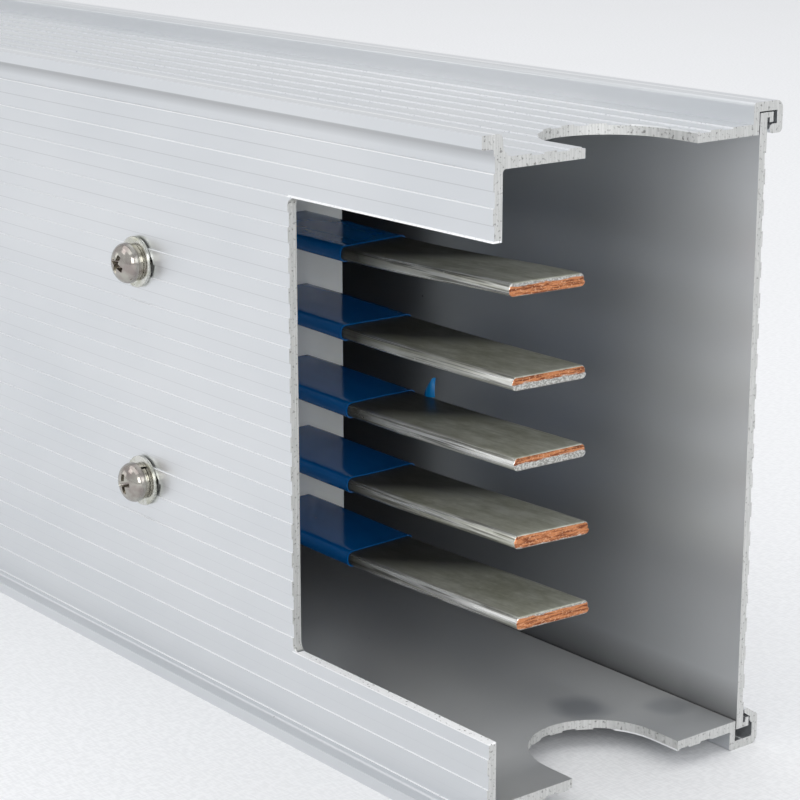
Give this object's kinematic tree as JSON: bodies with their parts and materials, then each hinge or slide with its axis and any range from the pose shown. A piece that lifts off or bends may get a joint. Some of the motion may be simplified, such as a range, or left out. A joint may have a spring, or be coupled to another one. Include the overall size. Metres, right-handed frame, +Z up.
{
  "type": "busway section",
  "caption": "Straight busway section: extruded aluminium housing with a clip-in back cover, flat sleeved copper busbars on comb supports, open joint ends.",
  "frame": {"origin": "centre of the outer box in plan, screw heads included, on the floor under the rims", "axes": "+X along the section, +Y from the front wall to the back cover, +Z up"},
  "size_m": [1, 0.0856, 0.1436],
  "materials": {
    "extruded_aluminium": "clear anodised, satin, with fine extrusion lines and sawn ends",
    "tinned_copper": "dull tin plating over copper, streaked, with copper showing on the sheared ends",
    "blue_sleeve": "glossy heat-shrunk sleeve",
    "white_moulding": "satin moulded insulator",
    "plated_steel": "bright nickel plated"
  },
  "bodies": {
    "root": {"housing_channel": "extruded_aluminium", "back_cover": "extruded_aluminium", "busbar_1": "tinned_copper", "busbar_2": "tinned_copper", "busbar_3": "tinned_copper", "busbar_4": "tinned_copper", "busbar_5": "tinned_copper", "sleeve_1": "blue_sleeve", "sleeve_2": "blue_sleeve", "sleeve_3": "blue_sleeve", "sleeve_4": "blue_sleeve", "sleeve_5": "blue_sleeve", "comb_support_1": "white_moulding", "comb_support_2": "white_moulding", "comb_support_3": "white_moulding", "screw_1_upper": "plated_steel", "screw_1_lower": "plated_steel", "screw_2_upper": "plated_steel", "screw_2_lower": "plated_steel", "screw_3_upper": "plated_steel", "screw_3_lower": "plated_steel", "spring_washer_1_upper": "plated_steel", "spring_washer_1_lower": "plated_steel", "spring_washer_2_upper": "plated_steel", "spring_washer_2_lower": "plated_steel", "spring_washer_3_upper": "plated_steel", "spring_washer_3_lower": "plated_steel", "flat_washer_1_upper": "plated_steel", "flat_washer_1_lower": "plated_steel", "flat_washer_2_upper": "plated_steel", "flat_washer_2_lower": "plated_steel", "flat_washer_3_upper": "plated_steel", "flat_washer_3_lower": "plated_steel"}
  },
  "joints": []
}
